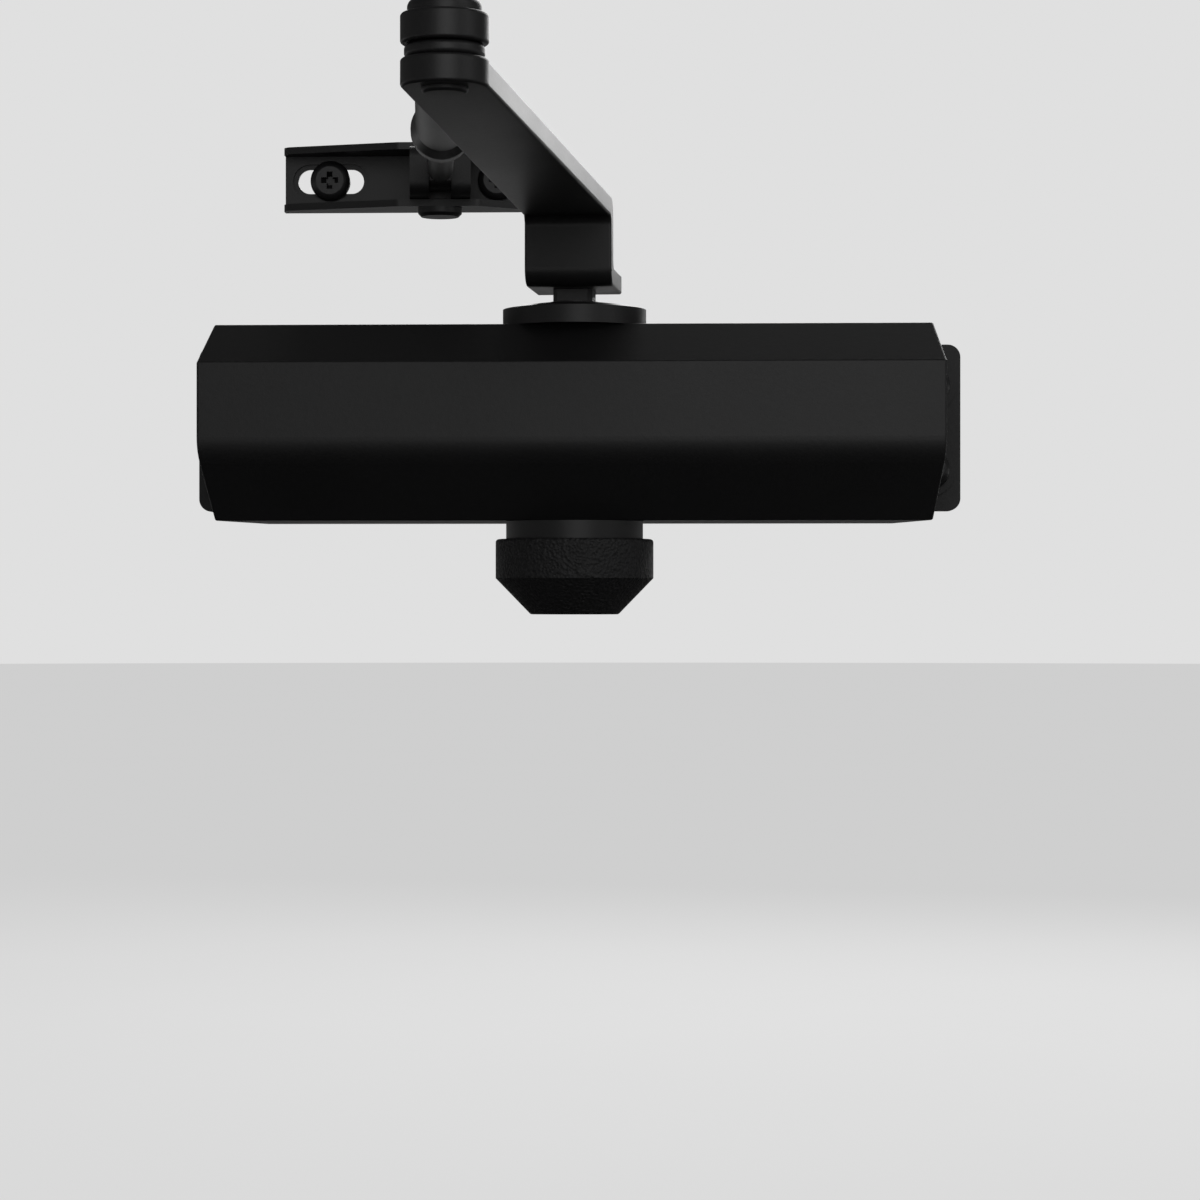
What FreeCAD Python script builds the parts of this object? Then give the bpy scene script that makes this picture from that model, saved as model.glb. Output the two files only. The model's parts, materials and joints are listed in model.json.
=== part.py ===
import FreeCAD, Part
import math
import os

# Surface-mounted rack-and-pinion door closer with a regular two-piece arm.
# Millimetres. +X runs along the body, +Y goes into the door, +Z is up.
# The origin is the centre of the four body screws, on the door's face (y = 0).

os.makedirs("parts", exist_ok=True)
Vector = FreeCAD.Vector
alongX, alongY, alongZ = Vector(1, 0, 0), Vector(0, 1, 0), Vector(0, 0, 1)

# Clearances
runFit = 0.05           # radial, between turning or sliding pieces
seatFit = 0.05          # radial, between pieces that are fixed to each other
faceGap = 0.1           # between flat faces that turn against each other

# Cover
coverHalf = 113.6       # half length at the front face
coverTop = 30.1         # half height
coverDepth = 57.0
coverWall = 2.2
endTaper = math.tan(math.radians(13))
upperChamferZ = 17.6    # where the front face meets the upper bevel
upperChamferDeep = 14.0
lowerChamferZ = -9.5    # where the front face meets the lower bevel
lowerChamferDeep = 14.5
frontBlend = 14.0       # radius between front face and lower bevel
coverEdge = 0.8
slotClearance = 0.3     # round the spindle boss

# Casting
plateHalf = 121.0
plateTop = 26.3
plateThick = 6.0
plateCorner = 4.0
barrelHalf = 98.0
barrelTop = 22.0
barrelFront = 48.0
barrelEdge = 9.0
bossRadius = 13.8
screwX, screwZ = 111.0, 13.3
screwBossRadius = 8.5
screwBossHigh = 2.0
boreRadius = 17.0
pinionY = -28.0
crossBoreRadius = 11.5

# Body screws
screwRadius = 3.0
screwHeadRadius = 6.5
screwHeadHigh = 4.5
screwLength = 30.0
screwPlay = 1.2         # radial, round each body screw
recessRadius = 3.0
recessDeep = 2.2

# Rack and pinion
module = 1.0
pinionTeeth = 16
pressureAngle = math.radians(20)
backlash = 0.12
addendum, dedendum = 0.9, 1.25
toothHalf = 15.8
journalRadius = 8.0
spindleRadius = 7.7
squareSide = 12.2
squareEdge = 1.4        # flat on the square's corners
swingRange = math.radians(170)

# Piston, spring and plugs
pistonRest = 12.0
pistonWall = 11.0
windowBack = 10.4       # how far the window reaches behind the pinion axis
plugThick = 14.0
springWire = 3.4
springTurns = 7.0
springGap = 1.3          # between the spring and the bore
seatThick = 3.0
valveRadius = 3.5
valveY, valveZ = 7.3, 6.2
valveLength = 11.0

# Bearings, seals, spindle flange and lower cap
sleeveStart, sleeveEnd = 17.5, 25.5
sealEnd = 28.5
flangeRadius = 22.25
flangeThick = 7.8
flangeRim = 5.4         # straight part of its edge
neckRadius = 21.25
neckDrop = 5.5
capRadius = 24.5
capStraight = 12.1
capLow = 13.65
capCone = 11.2
capWall = 2.4

# Main arm
armThick = 6.0
armRootWidth = 27.2
armTipWidth = 20.4
armRise = 21.0          # from under the foot to under the bar
armReach = 262.5        # pinion axis to elbow axis
armYaw = 3.7            # closed arm leans this many degrees toward -X
footHalf = 13.0
footStart = 41.6        # height of the foot's underside
riserFront = 18.0       # from the pinion axis to the riser's near face
bendRadius = 3.0
armScrewRadius = 3.0
armScrewHead = 7.0
armScrewHigh = 4.0
washerRadius = 8.0
washerThick = 1.5

# Elbow
elbowBossHigh = 6.6
bushRadius = 9.3
bushHigh = 3.2
pinRadius = 4.0
elbowHeadRadius = 8.6
elbowHeadHigh = 3.2
elbowTailRadius = 5.4
elbowTailHigh = 1.3

# Forearm
forearmBossHigh = 7.0
forearmAxisZ = 78.6
shankRadius = 7.3
socketRadius = 8.75
socketFlare = 14.0
socketEnd = 100.0       # from the shoe rivet back to the socket's mouth
socketDeep = 82.0
rodRadius = 4.0
rodInserted = 56.0
clampX = 18.0           # clamp screw, back from the socket's mouth
clampRadius = 2.5

# Shoe and knuckle
shoeLeft, shoeRight = 50.5, 28.0   # from the rivet axis to each end
shoeLow, shoeHigh = 69.3, 89.5
shoeSheet = 2.2
shoeCentreDeep = 18.5
shoeEndDeep = 8.0
shoeRivetBack = 13.0    # from the frame's face to the rivet axis
shoeX = -43.3           # rivet axis, when the door is closed
slotOffset = 36.0       # left slot, from the rivet axis
holeOffset = 17.6       # right hole
slotHalf, slotRadius = 6.65, 3.9
dishRadius, dishDeep = 5.4, 0.9
knuckleHalf = 9.5
knuckleFront = 16.0     # from the rivet axis to the knuckle's open end
knuckleSlot = 7.0
crossPinOffset = 10.5
crossPinRadius = 2.5
tongueRadius = 5.2
rivetHeadRadius = 6.9
rivetHeadHigh = 2.8
shoeScrewRadius = 2.7
shoeScrewHead = 6.4
shoeScrewHigh = 3.2
shoeScrewLength = 28.0

# Worked-out places
plateFront = -plateThick
spindleTop = coverTop + flangeThick
barUnder = footStart + armRise
bossTop = barUnder + elbowBossHigh
bushTop = bossTop + bushHigh
forearmBottom = bushTop + faceGap
forearmTop = forearmBottom + forearmBossHigh
elbowX = -math.sin(math.radians(armYaw)) * armReach
elbowY = pinionY - math.cos(math.radians(armYaw)) * armReach
shoeY = -shoeRivetBack
forearmReach = math.hypot(shoeX - elbowX, shoeY - elbowY)
forearmLean = math.degrees(math.atan2(elbowX - shoeX, shoeY - elbowY))
knuckleLow = shoeLow + shoeSheet + 0.2
knuckleHigh = shoeHigh - shoeSheet - 0.2
pitchRadius = module * pinionTeeth / 2
travel = pitchRadius * swingRange
springRadius = boreRadius - springGap - springWire / 2


def cylinder(radius, start, end, x=0.0, y=0.0):
    """Upright cylinder between two heights."""
    return Part.makeCylinder(radius, end - start, Vector(x, y, start), alongZ)


def barX(radius, start, end, y, z):
    return Part.makeCylinder(radius, end - start, Vector(start, y, z), alongX)


def barY(radius, start, end, x, z):
    return Part.makeCylinder(radius, end - start, Vector(x, start, z), alongY)


def block(x0, x1, y0, y1, z0, z1):
    return Part.makeBox(x1 - x0, y1 - y0, z1 - z0, Vector(x0, y0, z0))


def ring(outer, inner, start, end, x=0.0, y=0.0):
    return cylinder(outer, start, end, x, y).cut(cylinder(inner, start, end, x, y))


def prism(points, direction):
    """Solid between a closed outline and its copy moved by direction."""
    return Part.Face(Part.makePolygon(points + points[:1])).extrude(direction)


def rounded(shape, radius, keep):
    """Shape with the edges that keep() picks rounded."""
    edges = [edge for edge in shape.Edges if keep(edge)]
    return shape.makeFillet(radius, edges) if edges else shape


def chamfered(shape, size, keep):
    edges = [edge for edge in shape.Edges if keep(edge)]
    return shape.makeChamfer(size, edges) if edges else shape


def circleAt(edge, height, radius):
    """True for a circular edge of this radius at this height."""
    curve = edge.Curve
    if not isinstance(curve, Part.Circle):
        return False
    return abs(curve.Radius - radius) < 0.01 and abs(curve.Center.z - height) < 0.01


def runsAlong(edge, axis):
    curve = edge.Curve
    return isinstance(curve, Part.Line) and abs(curve.Direction.dot(axis)) > 0.999


def upright(edge):
    return runsAlong(edge, alongZ)


def crossRecess(radius, deep):
    """Cross-shaped driver recess, cut down from z = 0 along -Z."""
    wide = 0.36 * radius
    arms = block(-radius, radius, -wide, wide, -deep, 0)
    return arms.fuse(block(-wide, wide, -radius, radius, -deep, 0))


def panScrew(shankRadius, headRadius, headHigh, length):
    """Screw pointing down -Z, with the underside of its head at z = 0."""
    head = cylinder(headRadius, 0, headHigh)
    head = rounded(head, 0.55 * headHigh, lambda e: circleAt(e, headHigh, headRadius))
    recess = crossRecess(recessRadius, recessDeep)
    recess.translate(Vector(0, 0, headHigh))
    shank = cylinder(shankRadius, -length, 0)
    shank = chamfered(shank, 0.4 * shankRadius, lambda e: circleAt(e, -length, shankRadius))
    return head.fuse(shank).cut(recess)


def towardDoor(shape, x, y, z):
    """Turn a screw that points down -Z so that it points along +Y, and place it."""
    turned = shape.copy()
    turned.rotate(Vector(), alongX, 90)
    turned.translate(Vector(x, y, z))
    return turned


def swung(shape, degrees=-armYaw):
    """Piece drawn with the arm along -Y, turned to its closed place."""
    turned = shape.copy()
    turned.rotate(Vector(0, pinionY, 0), alongZ, degrees)
    return turned


def alongForearm(shape):
    """Piece drawn from the elbow at the origin along +Y, put in its place."""
    placed = shape.copy()
    placed.rotate(Vector(), alongZ, forearmLean)
    placed.translate(Vector(elbowX, elbowY, 0))
    return placed


def coverBlock(inset):
    """Outer shape of the cover, or the space inside its wall."""
    top = coverTop - inset
    front = -coverDepth + inset
    lowTurn = lowerChamferZ + 0.35 * inset
    highTurn = upperChamferZ - 0.35 * inset
    outline = [
        Vector(0, 0, top),
        Vector(0, front + upperChamferDeep, top),
        Vector(0, front, highTurn),
        Vector(0, front, lowTurn),
        Vector(0, front + lowerChamferDeep, -top),
        Vector(0, 0, -top),
    ]
    reach = coverHalf + 5
    outline = [point - Vector(reach, 0, 0) for point in outline]
    solid = prism(outline, Vector(2 * reach, 0, 0))
    turn = Vector(0, front, lowTurn)
    blend = frontBlend - inset
    solid = rounded(solid, blend, lambda e: runsAlong(e, alongX) and nearLine(e, turn))
    halfFront = coverHalf - inset * math.hypot(1, endTaper)
    halfBack = halfFront - endTaper * (coverDepth + 1)
    ends = [
        Vector(-halfFront, -coverDepth, -50),
        Vector(halfFront, -coverDepth, -50),
        Vector(halfBack, 1, -50),
        Vector(-halfBack, 1, -50),
    ]
    return solid.common(prism(ends, Vector(0, 0, 100)))


def nearLine(edge, point):
    middle = edge.CenterOfMass
    return math.hypot(middle.y - point.y, middle.z - point.z) < 0.1


def makeCover():
    outer = coverBlock(0)
    outer = rounded(outer, coverEdge, lambda e: e.CenterOfMass.y < -20)
    cover = outer.cut(coverBlock(coverWall))
    for side in (-1, 1):
        wide = bossRadius + slotClearance
        slot = cylinder(wide, 20, 40, 0, pinionY)
        slot = slot.fuse(block(-wide, wide, pinionY, 1, 20, 40))
        if side < 0:
            slot.rotate(Vector(), alongY, 180)
        cover = cover.cut(slot)
    endRelief = block(-plateHalf, plateHalf, plateFront - 0.2, 1, -plateTop - 0.3, plateTop + 0.3)
    return cover.cut(endRelief)


def makeCasting():
    plate = block(-plateHalf, plateHalf, plateFront, 0, -plateTop, plateTop)
    plate = rounded(plate, plateCorner, lambda e: runsAlong(e, alongY))
    barrel = block(-barrelHalf, barrelHalf, -barrelFront, plateFront, -barrelTop, barrelTop)
    barrel = rounded(barrel, barrelEdge, lambda e: runsAlong(e, alongX) and e.CenterOfMass.y < -40)
    casting = plate.fuse(barrel).fuse(cylinder(bossRadius, -coverTop, coverTop, 0, pinionY))
    for x in (-screwX, screwX):
        for z in (-screwZ, screwZ):
            casting = casting.fuse(barY(screwBossRadius, plateFront - screwBossHigh, plateFront, x, z))
            casting = casting.cut(barY(screwRadius + screwPlay, -20, 1, x, z))
    casting = casting.removeSplitter()
    casting = casting.cut(barX(boreRadius, -barrelHalf - 1, barrelHalf + 1, pinionY, 0))
    return casting.cut(cylinder(crossBoreRadius, -coverTop - 1, coverTop + 1, 0, pinionY))


def makeBodyScrews():
    screw = panScrew(screwRadius, screwHeadRadius, screwHeadHigh, screwLength + plateThick + screwBossHigh)
    under = plateFront - screwBossHigh
    return [towardDoor(screw, x, under, z) for x in (-screwX, screwX) for z in (-screwZ, screwZ)]


def involutePoint(base, angle, start, sign):
    """Point on the involute of the base circle, unrolled by this angle."""
    turn = start + sign * (angle - math.atan(angle))
    reach = base * math.hypot(1, angle)
    return Vector(reach * math.sin(turn), pinionY - reach * math.cos(turn), 0)


def pinionOutline():
    """Toothed outline about the pinion axis, one gap centred on the rack's tooth."""
    base = pitchRadius * math.cos(pressureAngle)
    tip, root = pitchRadius + addendum, pitchRadius - dedendum
    rollTip = math.sqrt((tip / base) ** 2 - 1)
    rollPitch = math.tan(pressureAngle)
    halfTooth = (math.pi * module / 2 - backlash) / (2 * pitchRadius)
    halfBase = halfTooth + rollPitch - math.atan(rollPitch)
    points = []
    for tooth in range(pinionTeeth):
        middle = 2 * math.pi * (tooth + 0.5) / pinionTeeth
        rolls = [rollTip * step / 6 for step in range(7)]
        points.append(polar(root, middle - halfBase - 0.01))
        points += [involutePoint(base, roll, middle - halfBase, 1) for roll in rolls]
        points += [involutePoint(base, roll, middle + halfBase, -1) for roll in rolls[::-1]]
        points.append(polar(root, middle + halfBase + 0.01))
    return points


def polar(radius, turn):
    return Vector(radius * math.sin(turn), pinionY - radius * math.cos(turn), 0)


def makePinionShaft():
    outline = [point - Vector(0, 0, toothHalf) for point in pinionOutline()]
    shaft = prism(outline, Vector(0, 0, 2 * toothHalf))
    shaft = shaft.fuse(cylinder(journalRadius, toothHalf, coverTop, 0, pinionY))
    shaft = shaft.fuse(cylinder(journalRadius, -coverTop, -toothHalf, 0, pinionY))
    shaft = shaft.fuse(cylinder(spindleRadius, coverTop, spindleTop, 0, pinionY))
    shaft = shaft.fuse(cylinder(spindleRadius, -coverTop - neckDrop, -coverTop, 0, pinionY))
    half = squareSide / 2
    top = footStart + armThick - 0.3
    square = block(-half, half, pinionY - half, pinionY + half, spindleTop, top)
    low = -coverTop - neckDrop
    stub = block(-half, half, pinionY - half, pinionY + half, low - 8, low)
    shaft = shaft.fuse([swung(chamfered(square, squareEdge, upright)), swung(chamfered(stub, squareEdge, upright))])
    return shaft.cut(cylinder(armScrewRadius + seatFit, top - 16, top + 1, 0, pinionY))


def rackGap(x, tipY):
    """Cut between two rack teeth, on the front wall of the piston's window."""
    slope = math.tan(pressureAngle)
    pitchY = pinionY - pitchRadius
    half = (math.pi * module / 2 + backlash / 2) / 2
    deep = pitchY - dedendum
    wideTop = half + slope * (tipY - pitchY)
    wideLow = half - slope * dedendum
    points = [
        Vector(x - wideTop, tipY, -20),
        Vector(x - wideLow, deep, -20),
        Vector(x + wideLow, deep, -20),
        Vector(x + wideTop, tipY, -20),
    ]
    return prism(points, Vector(0, 0, 40))


def makePiston():
    windowHalf = travel / 2 + pitchRadius + 3
    half = windowHalf + pistonWall
    middle = pistonRest
    radius = boreRadius - runFit
    piston = barX(radius, middle - half, middle + half, pinionY, 0)
    piston = chamfered(piston, 0.8, lambda e: isinstance(e.Curve, Part.Circle))
    rackTip = pinionY - pitchRadius + addendum
    piston = piston.cut(block(
        middle - windowHalf, middle + windowHalf, rackTip, pinionY + windowBack, -20, 20))
    pitch = math.pi * module
    for side in (-1, 1):
        for step in range(30):
            x = pitch * (step + 0.5) * side
            if abs(x - middle) < windowHalf - 1.2:
                piston = piston.cut(rackGap(x, rackTip + 0.01))
    for x in (middle - half + 4, middle + half - 4):
        groove = barX(radius + 1, x - 1.5, x + 1.5, pinionY, 0)
        groove = groove.cut(barX(radius - 2.4, x - 2, x + 2, pinionY, 0))
        piston = piston.cut(groove)
    end = middle + half
    piston = piston.cut(barX(4.0, end - 6, end + 1, pinionY, 0))
    return piston.cut(barX(1.6, end - pistonWall - 1, end, pinionY, 0))


def makePistonSeals():
    windowHalf = travel / 2 + pitchRadius + 3
    half = windowHalf + pistonWall
    seals = []
    for x in (pistonRest - half + 4, pistonRest + half - 4):
        outer = barX(boreRadius - runFit, x - 1.3, x + 1.3, pinionY, 0)
        seals.append(outer.cut(barX(boreRadius - runFit - 2.2, x - 2, x + 2, pinionY, 0)))
    return seals


def makeCheckValve():
    """Ball and its screwed retainer, in the piston's right end."""
    end = pistonRest + travel / 2 + pitchRadius + 3 + pistonWall
    ball = Part.makeSphere(2.4, Vector(end - 3.55, pinionY, 0))
    retainer = barX(3.95, end - 1.1, end - 0.1, pinionY, 0)
    return ball, retainer.cut(barX(1.2, end - 2, end, pinionY, 0))


def makeSpring():
    start = -barrelHalf + plugThick + seatThick
    end = pistonRest - (travel / 2 + pitchRadius + 3 + pistonWall)
    length = end - start - springWire - 0.1
    helix = Part.makeHelix(length / springTurns, length, springRadius)
    section = Part.Wire(Part.makeCircle(springWire / 2, Vector(springRadius, 0, 0), alongY))
    spring = Part.Wire(helix).makePipeShell([section], True, True)
    spring.rotate(Vector(), alongY, 90)
    spring.translate(Vector(start + springWire / 2 + 0.05, pinionY, 0))
    return spring


def makeSpringSeat():
    start = -barrelHalf + plugThick
    seat = barX(boreRadius - 0.5, start, start + seatThick, pinionY, 0)
    pilot = barX(springRadius - springWire / 2 - 0.4, start, start + seatThick + 5, pinionY, 0)
    return seat.fuse(pilot).cut(barX(4, start - 1, start + 20, pinionY, 0))


def makePlug(side):
    """Threaded end plug with a hexagon socket and a seal groove; valves on the right."""
    inner, outer = barrelHalf - plugThick, barrelHalf
    plug = barX(boreRadius - seatFit, inner, outer, pinionY, 0)
    plug = plug.cut(barX(boreRadius + 1, inner + 3, inner + 6, pinionY, 0).cut(
        barX(boreRadius - 2.3, inner + 3, inner + 6, pinionY, 0)))
    corners = [math.radians(60 * step) for step in range(6)]
    hexagon = [Vector(outer + 1, pinionY + 5 * math.cos(turn), 5 * math.sin(turn)) for turn in corners]
    plug = plug.cut(prism(hexagon, Vector(-6, 0, 0)))
    if side > 0:
        for y, z in valvePlaces():
            plug = plug.cut(barX(valveRadius + runFit, outer - valveLength, outer + 1, y, z))
        return plug
    plug.rotate(Vector(), alongZ, 180)
    plug.translate(Vector(0, 2 * pinionY, 0))
    return plug


def valvePlaces():
    return [(pinionY - valveY, valveZ), (pinionY - valveY, -valveZ)]


def makePlugSeals():
    seals = []
    for side in (-1, 1):
        x = side * (barrelHalf - plugThick + 4.5)
        outer = barX(boreRadius - seatFit, x - 1.3, x + 1.3, pinionY, 0)
        seals.append(outer.cut(barX(boreRadius - 2.2, x - 2, x + 2, pinionY, 0)))
    return seals


def makeValve(place):
    """Slotted regulating screw with its small seal's groove."""
    y, z = place
    start, end = barrelHalf - valveLength + 0.3, barrelHalf + 2.5
    valve = barX(valveRadius, start, end, y, z)
    groove = barX(valveRadius + 1, start + 2, start + 3.6, y, z)
    valve = valve.cut(groove.cut(barX(valveRadius - 1.1, start + 2, start + 3.6, y, z)))
    return valve.cut(block(end - 1.2, end + 1, y - 5, y + 5, z - 0.5, z + 0.5))


def makeValveSeals():
    start = barrelHalf - valveLength + 2.3
    seals = []
    for y, z in valvePlaces():
        seal = barX(valveRadius - 0.02, start + 0.1, start + 1.5, y, z)
        seals.append(seal.cut(barX(valveRadius - 1.05, start, start + 2, y, z)))
    return seals


def makeSleeve(side):
    low, high = sorted((side * sleeveStart, side * sleeveEnd))
    return ring(crossBoreRadius - seatFit, journalRadius + runFit, low, high, 0, pinionY)


def makeShaftSeal(side):
    low, high = sorted((side * sleeveEnd, side * sealEnd))
    return ring(crossBoreRadius - seatFit, journalRadius + runFit, low, high, 0, pinionY)


def domeRadius(half, rise):
    """Radius of the ball whose cap has this half width and rise."""
    return (half * half + rise * rise) / (2 * rise)


def makeSpindleFlange():
    disc = cylinder(flangeRadius, coverTop, spindleTop, 0, pinionY)
    dome = domeRadius(flangeRadius, flangeThick - flangeRim)
    disc = disc.common(Part.makeSphere(dome, Vector(0, pinionY, spindleTop - dome)))
    disc = disc.fuse(cylinder(crossBoreRadius - seatFit, sealEnd, coverTop, 0, pinionY))
    disc = disc.cut(cylinder(journalRadius + runFit, sealEnd - 1, coverTop + 0.3, 0, pinionY))
    return disc.cut(cylinder(spindleRadius + runFit, coverTop, spindleTop + 1, 0, pinionY))


def makeNeck():
    low = -coverTop - neckDrop
    neck = cylinder(neckRadius, low, -coverTop, 0, pinionY)
    neck = neck.fuse(cylinder(crossBoreRadius - seatFit, -coverTop, -sealEnd, 0, pinionY))
    neck = neck.cut(cylinder(journalRadius + runFit, -coverTop - 0.3, -sealEnd + 1, 0, pinionY))
    return neck.cut(cylinder(spindleRadius + runFit, low - 1, -coverTop, 0, pinionY))


def makeSpindleCap():
    high = -coverTop - neckDrop
    turn = high - capStraight
    low = turn - capCone
    cap = cylinder(capRadius, turn, high, 0, pinionY)
    cone = Part.makeCone(capLow, capRadius, capCone, Vector(0, pinionY, low), alongZ)
    cap = cap.fuse(cone).removeSplitter()
    cap = rounded(cap, 1.0, lambda e: circleAt(e, low, capLow) or circleAt(e, high, capRadius))
    hollow = cylinder(capRadius - capWall, turn, high, 0, pinionY)
    inner = Part.makeCone(capLow - capWall / 2, capRadius - capWall, capCone - capWall,
                          Vector(0, pinionY, low + capWall), alongZ)
    lid = ring(capRadius - 1.5, spindleRadius + 3, high - 2.0, high, 0, pinionY)
    return cap.cut(hollow).cut(inner).fuse(lid)


def armWidth(reach):
    """Half width of the bar at this distance from the pinion axis."""
    return (armRootWidth + (armTipWidth - armRootWidth) * reach / armReach) / 2


def makeMainArm():
    """Strip steel: foot on the square, riser in front of it, tapered bar to the elbow."""
    near = pinionY - riserFront
    far = pinionY - armReach
    barTop = barUnder + armThick
    profile = [
        Vector(0, pinionY + footHalf, footStart),
        Vector(0, near, footStart),
        Vector(0, near, barUnder),
        Vector(0, far, barUnder),
        Vector(0, far, barTop),
        Vector(0, near + armThick, barTop),
        Vector(0, near + armThick, footStart + armThick),
        Vector(0, pinionY + footHalf, footStart + armThick),
    ]
    strip = prism([point - Vector(20, 0, 0) for point in profile], Vector(40, 0, 0))
    inner = [(near, barUnder), (near + armThick, footStart + armThick)]
    outer = [(near, footStart), (near + armThick, barTop)]
    for corners, radius in ((inner, bendRadius), (outer, bendRadius + 2.5)):
        points = [Vector(0, y, z) for y, z in corners]
        strip = rounded(strip, radius, lambda e: any(nearLine(e, p) for p in points))
    tip, root = armTipWidth / 2, armWidth(riserFront)
    plan = [
        Vector(-root, pinionY + footHalf, 0),
        Vector(-root, near, 0),
        Vector(-tip, far, 0),
        Vector(tip, far, 0),
        Vector(root, near, 0),
        Vector(root, pinionY + footHalf, 0),
    ]
    arm = strip.common(prism(plan, Vector(0, 0, 100)))
    arm = rounded(arm, 0.7, lambda e: isinstance(e.Curve, Part.Line) and abs(e.Curve.Direction.y) > 0.9)
    arm = arm.fuse(chamferedBoss(tip, barUnder, bossTop, 0, far)).removeSplitter()
    half = squareSide / 2 + seatFit
    arm = arm.cut(block(-half, half, pinionY - half, pinionY + half, footStart - 1, footStart + 7))
    arm = arm.cut(cylinder(pinRadius + seatFit, barUnder - 1, bossTop + 1, 0, far))
    return swung(arm)


def chamferedBoss(radius, low, high, x, y):
    boss = cylinder(radius, low, high, x, y)
    return rounded(boss, 0.8, lambda e: circleAt(e, high, radius) or circleAt(e, low, radius))


def makeArmScrew():
    top = footStart + armThick + washerThick
    screw = panScrew(armScrewRadius, armScrewHead, armScrewHigh, 14)
    screw.translate(Vector(0, pinionY, top))
    return screw


def makeArmWasher():
    low = footStart + armThick
    return ring(washerRadius, armScrewRadius + 0.2, low, low + washerThick, 0, pinionY)


def makeElbowBush():
    bush = cylinder(bushRadius, bossTop, bushTop, elbowX, elbowY)
    bush = rounded(bush, 1.2, lambda e: isinstance(e.Curve, Part.Circle))
    return bush.cut(cylinder(pinRadius + seatFit, bossTop - 1, bushTop + 1, elbowX, elbowY))


def makeElbowRivet():
    headLow = forearmTop + faceGap
    head = cylinder(elbowHeadRadius, headLow, headLow + elbowHeadHigh, elbowX, elbowY)
    head = rounded(head, 2.0, lambda e: circleAt(e, headLow + elbowHeadHigh, elbowHeadRadius))
    tail = cylinder(elbowTailRadius, barUnder - elbowTailHigh, barUnder, elbowX, elbowY)
    tail = rounded(tail, 0.9, lambda e: circleAt(e, barUnder - elbowTailHigh, elbowTailRadius))
    return head.fuse([cylinder(pinRadius, barUnder, headLow, elbowX, elbowY), tail])


def makeForearmSocket():
    boss = chamferedBoss(armTipWidth / 2, forearmBottom, forearmTop, 0, 0)
    neckHalf = shankRadius
    neck = block(-neckHalf, neckHalf, 4, 34, forearmBottom + 0.4, forearmTop - 0.4)
    mouth = forearmReach - socketEnd
    shank = barY(shankRadius, 22, mouth - socketFlare, 0, forearmAxisZ)
    shank = rounded(shank, 4.0, lambda e: isinstance(e.Curve, Part.Circle) and e.CenterOfMass.y < 23)
    cone = Part.makeCone(shankRadius, socketRadius, socketFlare / 2,
                         Vector(0, mouth - socketFlare, forearmAxisZ), alongY)
    rim = barY(socketRadius, mouth - socketFlare / 2, mouth, 0, forearmAxisZ)
    rim = rounded(rim, 1.2, lambda e: isinstance(e.Curve, Part.Circle) and e.CenterOfMass.y > mouth - 1)
    socket = boss.fuse([neck, shank, cone, rim]).removeSplitter()
    socket = socket.cut(barY(rodRadius + runFit, mouth - socketDeep, mouth + 1, 0, forearmAxisZ))
    socket = socket.cut(cylinder(pinRadius + runFit, forearmBottom - 1, forearmTop + 1))
    clamp = cylinder(clampRadius + seatFit, forearmAxisZ, forearmAxisZ + 20, 0, mouth - clampX)
    return alongForearm(socket.cut(clamp))


def makeClampScrew():
    """Headless screw that presses on the rod and holds the forearm's length."""
    place = forearmReach - socketEnd - clampX
    low, high = forearmAxisZ + rodRadius + 0.1, forearmAxisZ + shankRadius + 1.6
    screw = chamfered(cylinder(clampRadius, low, high, 0, place), 0.4, lambda e: circleAt(e, high, clampRadius))
    recess = block(-1.6, 1.6, place - 0.4, place + 0.4, high - 1, high + 1)
    return alongForearm(screw.cut(recess))


def makeForearmRod():
    """Round rod whose flattened end carries the cross pin."""
    mouth = forearmReach - socketEnd
    pinAt = forearmReach - crossPinOffset
    rod = barY(rodRadius, mouth - rodInserted, pinAt - 12, 0, forearmAxisZ)
    half = knuckleSlot / 2 - 0.2
    tongue = barX(tongueRadius, -half, half, pinAt, forearmAxisZ)
    tongue = tongue.fuse(block(-half, half, pinAt - 14, pinAt, forearmAxisZ - rodRadius + 0.3,
                               forearmAxisZ + rodRadius - 0.3))
    rod = rod.fuse(tongue).removeSplitter()
    return alongForearm(rod.cut(barX(crossPinRadius + runFit, -20, 20, pinAt, forearmAxisZ)))


def makeKnuckle():
    at = forearmReach
    body = cylinder(knuckleHalf, knuckleLow, knuckleHigh, 0, at)
    cheeks = block(-knuckleHalf, knuckleHalf, at - knuckleFront, at, knuckleLow, knuckleHigh)
    cheeks = rounded(cheeks, 4.0, lambda e: runsAlong(e, alongX) and e.CenterOfMass.y < at - 10)
    knuckle = body.fuse(cheeks).removeSplitter()
    floor = at - pinRadius - 1.2
    knuckle = knuckle.cut(block(-knuckleSlot / 2, knuckleSlot / 2, at - 30, floor, 60, 100))
    knuckle = knuckle.cut(cylinder(pinRadius + runFit, 60, 100, 0, at))
    pinAt = at - crossPinOffset
    return alongForearm(knuckle.cut(barX(crossPinRadius + seatFit, -20, 20, pinAt, forearmAxisZ)))


def makeCrossPin():
    pinAt = forearmReach - crossPinOffset
    return alongForearm(barX(crossPinRadius, -knuckleHalf, knuckleHalf, pinAt, forearmAxisZ))


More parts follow.
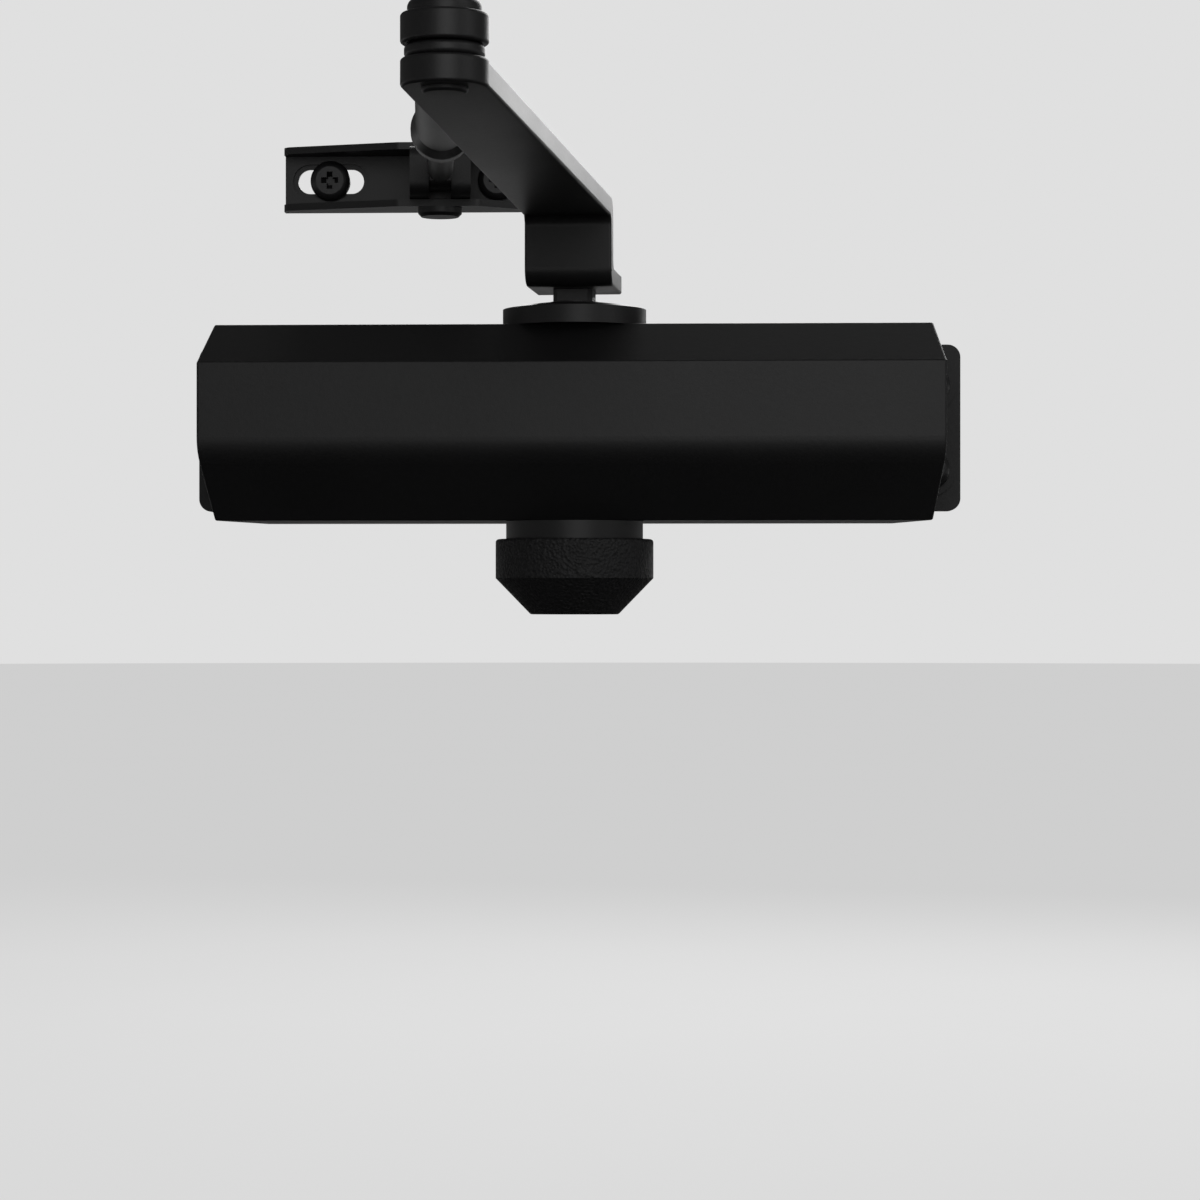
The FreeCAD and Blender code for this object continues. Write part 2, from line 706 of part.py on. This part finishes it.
def makeShoeBracket():
    """Stamped channel: a web on the frame and two flanges that carry the rivet."""
    ends = shoeRivetBack - shoeEndDeep
    front = shoeRivetBack - shoeCentreDeep
    plan = [
        Vector(-shoeLeft, shoeRivetBack, 0),
        Vector(-shoeLeft, ends, 0),
        Vector(-13, front, 0),
        Vector(13, front, 0),
        Vector(shoeRight, ends, 0),
        Vector(shoeRight, shoeRivetBack, 0),
    ]
    plan = [point + Vector(0, 0, shoeLow) for point in plan]
    shoe = prism(plan, Vector(0, 0, shoeHigh - shoeLow))
    shoe = rounded(shoe, 4.0, lambda e: upright(e) and e.CenterOfMass.y < shoeRivetBack - 1)
    hollow = block(-80, 80, -40, shoeRivetBack - shoeSheet, shoeLow + shoeSheet, shoeHigh - shoeSheet)
    shoe = rounded(shoe, 1.6, lambda e: runsAlong(e, alongX) and e.CenterOfMass.y > shoeRivetBack - 0.1)
    shoe = shoe.cut(hollow)
    shoe = shoe.cut(cylinder(pinRadius + seatFit, 60, 100))
    middle = (shoeLow + shoeHigh) / 2
    dished = shoeRivetBack - shoeSheet + dishDeep
    for start, radius in ((0, slotRadius), (0, dishRadius)):
        end = 20 if radius == slotRadius else dished
        slot = block(-slotOffset - slotHalf, -slotOffset + slotHalf, start, end, middle - radius, middle + radius)
        for side in (-slotHalf, slotHalf):
            slot = slot.fuse(barY(radius, start, end, side - slotOffset, middle))
        shoe = shoe.cut(slot)
    shoe = shoe.cut(barY(slotRadius, 0, 20, holeOffset, middle))
    shoe.translate(Vector(shoeX, shoeY, 0))
    return shoe


def makeShoeRivet():
    low, high = shoeLow - rivetHeadHigh, shoeHigh + rivetHeadHigh
    rivet = cylinder(pinRadius, shoeLow, shoeHigh, shoeX, shoeY)
    for start, end, outer in ((low, shoeLow, low), (shoeHigh, high, high)):
        head = cylinder(rivetHeadRadius, start, end, shoeX, shoeY)
        rivet = rivet.fuse(chamfered(head, 1.0, lambda e: circleAt(e, outer, rivetHeadRadius)))
    return rivet


def makeShoeScrews():
    screw = panScrew(shoeScrewRadius, shoeScrewHead, shoeScrewHigh, shoeScrewLength + shoeSheet)
    middle = (shoeLow + shoeHigh) / 2
    under = -shoeSheet
    return [towardDoor(screw, shoeX + x, under, middle) for x in (-slotOffset, holeOffset)]


def makeCoverClips():
    """Four leaf clips on the barrel that grip the cover's top and bottom walls."""
    clips = []
    wallInside = coverTop - coverWall
    for x in (-70, 70):
        for side in (-1, 1):
            low, high = sorted((side * barrelTop, side * wallInside))
            leaf = block(x - 9, x + 9, -24, -22.8, low, high)
            foot = block(x - 9, x + 9, -24, -14, *sorted((side * barrelTop, side * (barrelTop + 1.2))))
            grip = block(x - 9, x + 9, -33, -24, *sorted((side * (wallInside - 1.2), side * wallInside)))
            clips.append(leaf.fuse([foot, grip]).removeSplitter())
    return clips


def save(name, shape):
    solids = shape if isinstance(shape, list) else [shape]
    solids = [solid for item in solids for solid in item.Solids]
    whole = solids[0] if len(solids) == 1 else Part.makeCompound(solids)
    whole.exportStep("parts/" + name + ".step")
    print(name, len(solids), "valid" if whole.isValid() else "NOT VALID", round(whole.Volume, 1))


ball, retainer = makeCheckValve()
sweepPlace, latchPlace = valvePlaces()
save("cover", makeCover())
save("body_casting", makeCasting())
save("body_screws", makeBodyScrews())
save("cover_clips", makeCoverClips())
save("left_end_plug", makePlug(-1))
save("right_end_plug", makePlug(1))
save("end_plug_seals", makePlugSeals())
save("sweep_valve", makeValve(sweepPlace))
save("latch_valve", makeValve(latchPlace))
save("valve_seals", makeValveSeals())
save("upper_bearing_sleeve", makeSleeve(1))
save("lower_bearing_sleeve", makeSleeve(-1))
save("upper_shaft_seal", makeShaftSeal(1))
save("lower_shaft_seal", makeShaftSeal(-1))
save("spindle_flange", makeSpindleFlange())
save("lower_neck_nut", makeNeck())
save("spindle_cap", makeSpindleCap())
save("piston", makePiston())
save("piston_seals", makePistonSeals())
save("check_ball", ball)
save("check_ball_retainer", retainer)
save("return_spring", makeSpring())
save("spring_seat", makeSpringSeat())
save("pinion_shaft", makePinionShaft())
save("main_arm", makeMainArm())
save("arm_screw", makeArmScrew())
save("arm_washer", makeArmWasher())
save("elbow_bush", makeElbowBush())
save("elbow_rivet", makeElbowRivet())
save("forearm_socket", makeForearmSocket())
save("forearm_clamp_screw", makeClampScrew())
save("forearm_rod", makeForearmRod())
save("shoe_knuckle", makeKnuckle())
save("knuckle_pin", makeCrossPin())
save("shoe_bracket", makeShoeBracket())
save("shoe_rivet", makeShoeRivet())
save("shoe_screws", makeShoeScrews())
print("elbow", elbowX, elbowY, "forearm", forearmReach, forearmLean, "travel", travel)
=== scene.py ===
import json
import math
import bmesh
import bpy
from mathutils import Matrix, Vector


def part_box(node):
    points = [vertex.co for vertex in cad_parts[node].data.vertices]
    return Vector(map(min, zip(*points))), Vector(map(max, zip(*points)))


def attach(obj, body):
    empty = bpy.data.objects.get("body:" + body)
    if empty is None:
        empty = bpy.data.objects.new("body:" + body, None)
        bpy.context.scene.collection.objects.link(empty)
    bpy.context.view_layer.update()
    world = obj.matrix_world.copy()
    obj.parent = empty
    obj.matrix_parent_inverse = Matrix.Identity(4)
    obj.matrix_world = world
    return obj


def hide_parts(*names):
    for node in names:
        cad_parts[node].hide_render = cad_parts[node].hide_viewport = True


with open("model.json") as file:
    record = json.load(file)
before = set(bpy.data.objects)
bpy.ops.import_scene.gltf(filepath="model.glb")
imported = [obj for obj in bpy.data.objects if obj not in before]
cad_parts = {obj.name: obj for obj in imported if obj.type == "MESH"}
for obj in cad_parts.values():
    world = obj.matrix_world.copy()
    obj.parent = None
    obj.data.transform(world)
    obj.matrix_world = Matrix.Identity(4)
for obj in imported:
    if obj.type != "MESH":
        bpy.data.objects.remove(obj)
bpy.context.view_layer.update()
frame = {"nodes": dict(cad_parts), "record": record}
mm = 0.001
print("frame loaded:", len(frame["nodes"]), "nodes")


# camera, lights and floor: places in metres, yaw in degrees, lens and sensor in millimetres
view = {"place": (0.04817, -1.01454, -0.05446), "yaw": 2.337, "lens": 95.373, "sensor": 36.0}
studio = {  # each lamp is its place, its width and its watts
    "key": ((0.25, -1.7, 0.45), 1.1, 5.0),
    "fill": ((1.4, -0.8, 0.7), 0.8, 2.2),
    "back": ((0.3, 1.5, 0.9), 1.4, 26.0),
    "paleGrey": (0.745, 0.745, 0.745),
    "worldLight": 0.085,
    "floorDrop": 0.35,
    "floorRadius": 14,
    "floorGlow": 0.82,
    "dimTo": 1.4,
    "paleFrom": 4.0,
    "aim": (0, -0.05, 0),
}


def addCamera():
    data = bpy.data.cameras.new("camera")
    data.sensor_width = view["sensor"]
    data.lens = view["lens"]
    camera = bpy.data.objects.new("camera", data)
    bpy.context.scene.collection.objects.link(camera)
    camera.location = view["place"]
    camera.rotation_euler = (math.pi / 2, 0, math.radians(view["yaw"]))
    bpy.context.scene.camera = camera


def addSoftLight(name, place, size, power):
    data = bpy.data.lights.new(name, "AREA")
    data.size = size
    data.energy = power
    light = bpy.data.objects.new(name, data)
    bpy.context.scene.collection.objects.link(light)
    light.location = place
    light.rotation_euler = (Vector(studio["aim"]) - Vector(place)).to_track_quat("-Z", "Y").to_euler()


class Sock:
    # wraps a node socket so that shader maths reads as an expression
    def __init__(self, tree, socket):
        self.tree, self.socket = tree, socket

    def join(self, operation, other, flip=False):
        pair = [other, self] if flip else [self, other]
        return self.tree.add("ShaderNodeMath", {"operation": operation}, {0: pair[0], 1: pair[1]})

    def __add__(self, other):
        return self.join("ADD", other)

    def __radd__(self, other):
        return self.join("ADD", other, True)

    def __mul__(self, other):
        return self.join("MULTIPLY", other)

    def __rmul__(self, other):
        return self.join("MULTIPLY", other, True)


class Shader:
    def __init__(self, name):
        self.material = bpy.data.materials.new(name)
        self.material.use_nodes = True
        self.nodes = self.material.node_tree.nodes
        self.links = self.material.node_tree.links
        self.body = self.nodes["Principled BSDF"]

    def add(self, kind, settings=None, values=None, output=0):
        node = self.nodes.new(kind)
        for key, value in (settings or {}).items():
            if key == "stops":
                for stop, (place, shade) in zip(node.color_ramp.elements, value):
                    stop.position, stop.color = place, (*shade, 1)
            else:
                setattr(node, key, value)
        for key, value in (values or {}).items():
            if isinstance(value, Sock):
                self.links.new(value.socket, node.inputs[key])
            else:
                node.inputs[key].default_value = value
        return Sock(self, node.outputs[output])

    def place(self):
        return self.add("ShaderNodeTexCoord", output="Object")

    def noise(self, scale, detail=3.0, roughness=0.5):
        values = {"Vector": self.place(), "Scale": scale, "Detail": detail, "Roughness": roughness}
        return self.add("ShaderNodeTexNoise", None, values)

    def fleck(self, scale):
        return self.add("ShaderNodeTexVoronoi", None, {"Vector": self.place(), "Scale": scale})

    def between(self, mask, dark, light):
        settings = {"stops": ((0.3, dark), (0.7, light))}
        return self.add("ShaderNodeValToRGB", settings, {"Fac": mask})

    def bump(self, height, strength, distance):
        values = {"Height": height, "Strength": strength, "Distance": distance}
        return self.add("ShaderNodeBump", None, values)

    def feed(self, **sockets):
        for key, value in sockets.items():
            socket = self.body.inputs[key.replace("_", " ")]
            if isinstance(value, Sock):
                self.links.new(value.socket, socket)
            else:
                socket.default_value = value
        return self.material


def tint(colour, factor):
    return tuple(channel * factor for channel in colour)


def satinPaint(name, colour, roughness, peel=0.25):
    # sprayed black: slight orange peel, uneven sheen, a little dust in the tone
    shade = Shader(name)
    cloud = shade.noise(22, 4)
    grit = shade.noise(900, 2)
    tone = shade.between(cloud * 0.7 + grit * 0.3, tint(colour, 0.86), tint(colour, 1.16))
    sheen = roughness - 0.05 + cloud * 0.07 + grit * 0.05
    peelHeight = shade.noise(650, 2) * 0.7 + shade.noise(2600, 1) * 0.3
    return shade.feed(Base_Color=tone, Roughness=sheen, IOR=1.47,
                      Normal=shade.bump(peelHeight, peel, 0.00012))


def grainedPlastic(name, colour):
    # moulded cap: fine leathery spark-erosion grain
    shade = Shader(name)
    pebble = shade.fleck(1000)
    wrinkle = shade.noise(1100, 3, 0.6)
    tone = shade.between(wrinkle, tint(colour, 0.75), tint(colour, 1.3))
    sheen = 0.5 + wrinkle * 0.16
    return shade.feed(Base_Color=tone, Roughness=sheen,
                      Normal=shade.bump(pebble * 0.7 + wrinkle * 0.5, 1.0, 0.0006))


def machinedMetal(name, colour, roughness, lineScale=(1, 1, 60)):
    # turned or ground metal with fine lines and faint oil marks
    shade = Shader(name)
    stretched = shade.add("ShaderNodeMapping", None, {"Vector": shade.place(), "Scale": lineScale})
    lines = shade.add("ShaderNodeTexNoise", None, {"Vector": stretched, "Scale": 90.0, "Detail": 3.0})
    stain = shade.noise(45, 4)
    tone = shade.between(stain, tint(colour, 0.8), tint(colour, 1.08))
    return shade.feed(Base_Color=tone, Metallic=1.0, Roughness=roughness + lines * 0.15 + stain * 0.06,
                      Normal=shade.bump(lines, 0.15, 0.0001))


def sealRubber(name):
    shade = Shader(name)
    bloom = shade.noise(300, 3)
    tone = shade.between(bloom, (0.012, 0.012, 0.012), (0.03, 0.03, 0.031))
    return shade.feed(Base_Color=tone, Roughness=0.6 + bloom * 0.2, Normal=shade.bump(bloom, 0.3, 0.0001))


def makeMaterials():
    black = (0.0115, 0.0114, 0.0118)
    return {
        "black_cover": satinPaint("coverPowderCoat", black, 0.44, 0.3),
        "black_casting": satinPaint("castingPaint", tint(black, 0.95), 0.5, 0.5),
        "black_steel": satinPaint("armPaint", tint(black, 1.05), 0.42, 0.22),
        "black_screw": satinPaint("screwBlack", tint(black, 1.25), 0.36, 0.12),
        "grained_plastic": grainedPlastic("capGrain", (0.011, 0.011, 0.0115)),
        "spring_steel": machinedMetal("springSteel", (0.3, 0.31, 0.33), 0.34),
        "zinc_steel": machinedMetal("zincPlate", (0.6, 0.61, 0.63), 0.32),
        "ground_steel": machinedMetal("groundSteel", (0.55, 0.56, 0.58), 0.24),
        "brass_valve": machinedMetal("valveBrass", (0.7, 0.52, 0.24), 0.28),
        "bronze": machinedMetal("sleeveBronze", (0.55, 0.38, 0.18), 0.42),
        "seal_rubber": sealRubber("nitrile"),
    }


def makeWorld():
    world = bpy.data.worlds.new("studio")
    bpy.context.scene.world = world
    world.use_nodes = True
    nodes, links = world.node_tree.nodes, world.node_tree.links
    background = nodes["Background"]
    path = nodes.new("ShaderNodeLightPath")
    mix = nodes.new("ShaderNodeMix")
    mix.data_type = "RGBA"
    # inputs 6 and 7 are the two colours of a mix in RGBA
    mix.inputs[6].default_value = (*[studio["worldLight"]] * 3, 1)
    mix.inputs[7].default_value = (*studio["paleGrey"], 1)
    links.new(path.outputs["Is Camera Ray"], mix.inputs[0])
    links.new(mix.outputs[2], background.inputs["Color"])


def addFloor():
    mesh = bpy.data.meshes.new("floor")
    shape = bmesh.new()
    bmesh.ops.create_circle(shape, cap_ends=True, segments=96, radius=studio["floorRadius"])
    bmesh.ops.translate(shape, verts=shape.verts, vec=(0, 0, -studio["floorDrop"]))
    shape.to_mesh(mesh)
    shape.free()
    floor = bpy.data.objects.new("floor", mesh)
    bpy.context.scene.collection.objects.link(floor)
    shade = Shader("floorPale")
    mottled = shade.noise(3, 3)
    tone = shade.between(mottled, (0.72, 0.72, 0.72), (0.76, 0.76, 0.76))
    floorMaterial = shade.feed(Base_Color=tone, Roughness=0.85)
    # painted shade: the dark sheet that light rays find on the floor near the object
    dim = shade.add("ShaderNodeBsdfDiffuse", None, {"Color": (0.05, 0.05, 0.05, 1)})
    glow = shade.add("ShaderNodeEmission", None, {"Color": (*studio["paleGrey"], 1)})
    # painted shade and painted glow: to light rays the floor is a dark sheet under the object, standing in
    # for its shade, and glows pale further off, as a lit room is
    away = shade.add("ShaderNodeVectorMath", {"operation": "LENGTH"}, {0: shade.place()}, "Value")
    paling = shade.add("ShaderNodeMapRange", None, {"Value": away, "From Min": studio["dimTo"],
                                                    "From Max": studio["paleFrom"]})
    shadeNearGlowFar = shade.add("ShaderNodeMixShader", None, {0: paling})
    shade.links.new(dim.socket, shadeNearGlowFar.socket.node.inputs[1])
    shade.links.new(glow.socket, shadeNearGlowFar.socket.node.inputs[2])
    shown = shade.add("ShaderNodeMixShader", None, {0: studio["floorGlow"]})
    shade.links.new(shade.body.outputs[0], shown.socket.node.inputs[1])
    shade.links.new(glow.socket, shown.socket.node.inputs[2])
    # camera rays see the evenly pale floor, light rays see the painted shade and glow
    seen = shade.add("ShaderNodeLightPath")
    choice = shade.add("ShaderNodeMixShader", None, {0: seen})
    shade.links.new(shadeNearGlowFar.socket, choice.socket.node.inputs[1])
    shade.links.new(shown.socket, choice.socket.node.inputs[2])
    shade.links.new(choice.socket, shade.nodes["Material Output"].inputs["Surface"])
    mesh.materials.append(floorMaterial)


bpy.context.scene.view_settings.view_transform = "Standard"
addCamera()
for lightName in ("key", "fill", "back"):
    addSoftLight(lightName, *studio[lightName])
makeWorld()
addFloor()
finish = makeMaterials()
for part in frame["record"]["subparts"]:
    node = frame["nodes"][part["node"]]
    node.data.materials.clear()
    node.data.materials.append(finish[part["material_slot"]])
print("camera, lights and finishes set")


# screws: one turned and threaded shape, copied in a grid by geometry nodes; sizes in millimetres
bodyScrew = {"head": 6.5, "high": 4.5, "core": 2.1, "crest": 3.0, "pitch": 2.6, "plain": 9.0,
             "columns": 2, "rows": 2, "across": 222.0, "up": 26.6}
shoeScrew = {"head": 6.4, "high": 3.2, "core": 1.8, "crest": 2.7, "pitch": 2.4, "plain": 4.0,
             "columns": 2, "rows": 1, "across": 53.6, "up": 0.0}
# shares of the head's radius and height, and the dome's turn in degrees
headShape = {"side": 0.28, "flat": 0.42, "domeTurn": 62.0, "steps": 8, "recess": 0.42, "sides": 48}
# tip in crest radii, ridge in turns, and where the plain stretch lies from core to crest
threadShape = {"sides": 16, "perTurn": 6, "tip": 2.6, "ridge": 0.28, "plainShare": 0.65, "point": 0.06}
# depth and overshoot in millimetres, the rest as shares
crossShape = {"deep": 2.3, "above": 0.3, "reach": 0.46, "wide": 0.15, "reachBelow": 0.45, "wideBelow": 0.7}


def revolve(shape, outline, sides):
    # closed skin round the Z axis from (radius, height) pairs; both ends lie on the axis
    rings = []
    for radius, height in outline:
        if radius == 0:
            rings.append([shape.verts.new((0, 0, height))])
            continue
        turns = [2 * math.pi * side / sides for side in range(sides)]
        rings.append([shape.verts.new((radius * math.cos(t), radius * math.sin(t), height)) for t in turns])
    for low, high in zip(rings, rings[1:]):
        for side in range(sides):
            after = (side + 1) % sides
            below = [low[side % len(low)], low[after % len(low)]]
            above = [high[after % len(high)], high[side % len(high)]]
            corners = list(dict.fromkeys(below + above))
            if len(corners) > 2:
                shape.faces.new(corners)


def headOutline(size, recess):
    # domed head from its underside's rim to the middle of the top
    radius, high = size["head"] * mm, size["high"] * mm
    side, flat, steps = headShape["side"], headShape["flat"], headShape["steps"]
    full = math.radians(headShape["domeTurn"])
    rim = [(radius, 0.0), (radius, side * high)]
    dome = []
    for step in range(1, steps + 1):
        turn = full * step / steps
        across = flat + (1 - flat) * math.cos(turn)
        rise = side + (1 - side) * math.sin(turn) / math.sin(full)
        dome.append((radius * across, high * rise))
    return rim + dome + [(recess, high), (0.0, high)]


def screwMesh(name, size, length):
    # pan head screw along -Z, head's underside at 0, with a cross recess and a real thread
    shape = bmesh.new()
    outline = headOutline(size, headShape["recess"] * size["head"] * mm)
    revolve(shape, [(0.0, 0.0)] + outline, headShape["sides"])
    threadShank(shape, size, length)
    mesh = bpy.data.meshes.new(name)
    bmesh.ops.recalc_face_normals(shape, faces=shape.faces)
    shape.to_mesh(mesh)
    shape.free()
    piece = bpy.data.objects.new(name, mesh)
    bpy.context.scene.collection.objects.link(piece)
    cutCross(piece, size)
    return piece


def threadShank(shape, size, length):
    # shank whose radius follows a helical ridge and narrows to a point at the tip
    sides, share = threadShape["sides"], threadShape["plainShare"]
    core, crest, pitch = size["core"] * mm, size["crest"] * mm, size["pitch"] * mm
    tip = threadShape["tip"] * crest
    steps = int(length / (pitch / threadShape["perTurn"]))
    rings = []
    for step in range(steps + 1):
        depth = length * step / steps
        ring = []
        for side in range(sides):
            turn = 2 * math.pi * side / sides
            phase = (depth / pitch - side / sides) % 1.0
            ridge = max(0.0, 1 - abs(phase - 0.5) / threadShape["ridge"])
            radius = core + (crest - core) * ridge
            if depth < size["plain"] * mm:
                radius = (1 - share) * core + share * crest
            radius *= min(1.0, (length - depth) / tip + threadShape["point"])
            ring.append(shape.verts.new((radius * math.cos(turn), radius * math.sin(turn), -depth)))
        rings.append(ring)
    for low, high in zip(rings, rings[1:]):
        for side in range(sides):
            after = (side + 1) % sides
            shape.faces.new((low[side], low[after], high[after], high[side]))
    shape.faces.new(rings[0])
    shape.faces.new(rings[-1][::-1])


def cutCross(piece, size):
    # cross recess: two crossed slots that narrow downwards, cut with a boolean
    cutter = bmesh.new()
    top, floor = size["high"] * mm + crossShape["above"] * mm, (size["high"] - crossShape["deep"]) * mm
    reach, wide = crossShape["reach"] * size["head"] * mm, crossShape["wide"] * size["head"] * mm
    for turned in (False, True):
        cube = bmesh.ops.create_cube(cutter, size=1.0)["verts"]
        for vert in cube:
            low = vert.co.z < 0
            x = vert.co.x * 2 * reach * (crossShape["reachBelow"] if low else 1.0)
            y = vert.co.y * 2 * wide * (crossShape["wideBelow"] if low else 1.0)
            if turned:
                x, y = -y, x
            vert.co = (x, y, floor if low else top)
    mesh = bpy.data.meshes.new("crossCutter")
    cutter.to_mesh(mesh)
    cutter.free()
    tool = bpy.data.objects.new("crossCutter", mesh)
    bpy.context.scene.collection.objects.link(tool)
    cut = piece.modifiers.new("recess", "BOOLEAN")
    cut.operation, cut.object, cut.solver = "DIFFERENCE", tool, "EXACT"
    cut.use_self = True
    bakeModifiers(piece)
    bpy.data.objects.remove(tool)


def bakeModifiers(piece):
    # turn the evaluated shape into the piece's own plain mesh
    graph = bpy.context.evaluated_depsgraph_get()
    mesh = bpy.data.meshes.new_from_object(piece.evaluated_get(graph))
    piece.modifiers.clear()
    piece.data = mesh


def gridTree(name, source):
    # geometry nodes: a grid of copies of the source, with named sizes
    tree = bpy.data.node_groups.new(name, "GeometryNodeTree")
    face = tree.interface
    face.new_socket("Geometry", in_out="OUTPUT", socket_type="NodeSocketGeometry")
    sockets = {}
    for label, kind in (("Columns", "Int"), ("Rows", "Int"), ("Across", "Float"), ("Up", "Float"),
                        ("Corner", "Vector"), ("Finish", "Material")):
        sockets[label] = face.new_socket(label, in_out="INPUT", socket_type="NodeSocket" + kind).identifier
    nodes, links = tree.nodes, tree.links
    given = nodes.new("NodeGroupInput")
    result = nodes.new("NodeGroupOutput")
    across = nodes.new("ShaderNodeCombineXYZ")
    upward = nodes.new("ShaderNodeCombineXYZ")
    links.new(given.outputs["Across"], across.inputs["X"])
    links.new(given.outputs["Up"], upward.inputs["Z"])
    row = nodes.new("GeometryNodeMeshLine")
    column = nodes.new("GeometryNodeMeshLine")
    for line, count, step in ((row, "Columns", across), (column, "Rows", upward)):
        line.mode = "OFFSET"
        links.new(given.outputs[count], line.inputs["Count"])
        links.new(step.outputs[0], line.inputs["Offset"])
    links.new(given.outputs["Corner"], row.inputs["Start Location"])
    spread = nodes.new("GeometryNodeInstanceOnPoints")
    links.new(row.outputs["Mesh"], spread.inputs["Points"])
    links.new(column.outputs["Mesh"], spread.inputs["Instance"])
    points = nodes.new("GeometryNodeRealizeInstances")
    links.new(spread.outputs["Instances"], points.inputs["Geometry"])
    shape = nodes.new("GeometryNodeObjectInfo")
    shape.inputs["Object"].default_value = source
    copies = nodes.new("GeometryNodeInstanceOnPoints")
    copies.inputs["Rotation"].default_value = (math.pi / 2, 0, 0)
    links.new(points.outputs["Geometry"], copies.inputs["Points"])
    links.new(shape.outputs["Geometry"], copies.inputs["Instance"])
    solid = nodes.new("GeometryNodeRealizeInstances")
    links.new(copies.outputs["Instances"], solid.inputs["Geometry"])
    paint = nodes.new("GeometryNodeSetMaterial")
    links.new(solid.outputs["Geometry"], paint.inputs["Geometry"])
    links.new(given.outputs["Finish"], paint.inputs["Material"])
    links.new(paint.outputs["Geometry"], result.inputs["Geometry"])
    return tree, sockets


def copiedScrews(name, size, node, body):
    # screws that point into the door, in the places of the CAD node
    low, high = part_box(node)
    length = high[1] - low[1] - size["high"] * mm
    source = screwMesh(name + "Source", size, length)
    tree, sockets = gridTree(name + "Grid", source)
    piece = bpy.data.objects.new(name, bpy.data.meshes.new(name))
    bpy.context.scene.collection.objects.link(piece)
    spread = piece.modifiers.new("grid", "NODES")
    spread.node_group = tree
    middleX, middleZ = (low[0] + high[0]) / 2, (low[2] + high[2]) / 2
    corner = (middleX - size["across"] * mm / 2, low[1] + size["high"] * mm, middleZ - size["up"] * mm / 2)
    inputs = {"Columns": size["columns"], "Rows": size["rows"], "Across": size["across"] * mm,
              "Up": size["up"] * mm, "Corner": corner, "Finish": finish["black_screw"]}
    for label, value in inputs.items():
        spread[sockets[label]] = value
    bakeModifiers(piece)
    bpy.data.objects.remove(source)
    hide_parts(node)
    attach(piece, body)
    return piece


copiedScrews("bodyScrewSet", bodyScrew, "body_screws", "closer_body")
copiedScrews("shoeScrewSet", shoeScrew, "shoe_screws", "shoe_group")
print("screws made")
